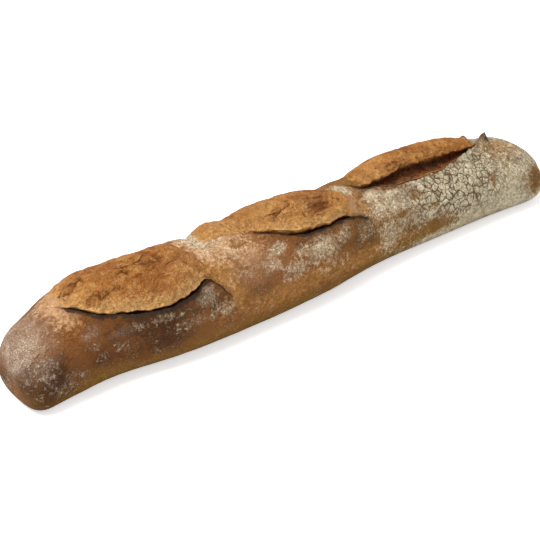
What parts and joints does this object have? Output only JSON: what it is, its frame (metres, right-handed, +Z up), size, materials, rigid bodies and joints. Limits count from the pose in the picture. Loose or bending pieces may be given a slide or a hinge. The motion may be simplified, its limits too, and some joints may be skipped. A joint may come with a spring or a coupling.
{
  "type": "baguette",
  "caption": "Long rustic bread loaf with blunt rounded ends, risen diagonal slashes along its crown and a flat baked base.",
  "frame": {"origin": "middle of the loaf's footprint box, on the surface that it lies on", "axes": "+X along the loaf towards its narrower, more floury end, +Z up, so -Y is the side that the slashes open towards"},
  "size_m": [0.52, 0.089, 0.0764],
  "materials": {
    "crust": "matte"
  },
  "bodies": {
    "root": {"loaf": "crust"}
  },
  "joints": []
}
